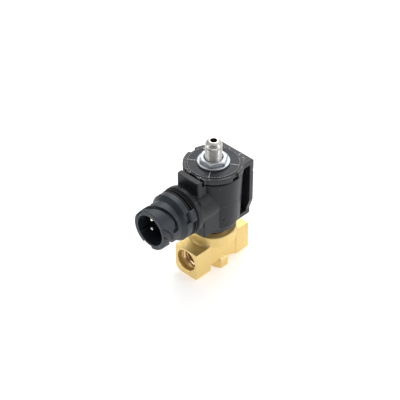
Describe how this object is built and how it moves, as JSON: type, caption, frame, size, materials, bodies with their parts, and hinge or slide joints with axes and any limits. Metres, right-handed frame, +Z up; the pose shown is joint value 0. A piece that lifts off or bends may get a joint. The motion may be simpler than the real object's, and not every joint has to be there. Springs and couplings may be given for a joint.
{
  "type": "solenoid valve",
  "caption": "In-line brass solenoid valve with threaded ports, upright coil in a bent steel yoke, vented core tip and round bayonet connector.",
  "frame": {"origin": "centre of the foot's underside, on the solenoid's axis", "axes": "+Z up the solenoid's axis towards the vent tip; -Y along the connector's axis towards its mouth, which is also the side of the front port"},
  "size_m": [0.0338, 0.0695, 0.0844],
  "materials": {
    "brass": "machined, satin",
    "plated_steel": "nickel plated, bright",
    "zinc_plate": "bright zinc plate",
    "soft_iron": "turned, unplated",
    "black_paint": "black e-coat, semi-gloss",
    "black_plastic": "glass-filled moulding, fine texture",
    "grey_plastic": "glass-filled moulding, satin",
    "natural_plastic": "plain moulding",
    "copper": null,
    "rubber": "matt",
    "label_foil": "printed foil, no lettering",
    "tinned_contact": "tin plated, bright"
  },
  "bodies": {
    "valve": {"valve_body": "brass", "orifice_seat": "brass", "body_oring": "rubber", "guide_tube": "brass", "fixed_core": "plated_steel", "nut_washer": "zinc_plate", "coil_nut": "zinc_plate", "base_washer": "zinc_plate"},
    "armature": {"plunger": "soft_iron", "plunger_lower_seal": "rubber", "plunger_upper_seal": "rubber", "plunger_spring": "plated_steel"},
    "coil": {"yoke_frame": "black_paint", "coil_housing": "black_plastic", "coil_bobbin": "natural_plastic", "coil_winding": "copper", "label_disc": "label_foil", "coil_oring_lower": "rubber", "coil_oring_upper": "rubber", "interface_seal": "rubber", "connector_barrel": "grey_plastic", "pin_carrier": "black_plastic", "contact_pin_1": "tinned_contact", "contact_pin_2": "tinned_contact", "lead_strip_1": "copper", "lead_strip_2": "copper"}
  },
  "joints": [
    {"name": "plunger_slide", "type": "slide", "parent": "valve", "child": "armature", "axis": [0, 0, 1], "range_m": [0, 0.0009], "stiffness_N_per_m": 600, "springref_m": -0.003, "deforming": ["plunger_spring"]},
    {"name": "coil_swivel", "type": "hinge", "parent": "valve", "child": "coil", "pos_m": [0, 0, 0.05], "axis": [0, 0, 1], "continuous": true}
  ]
}
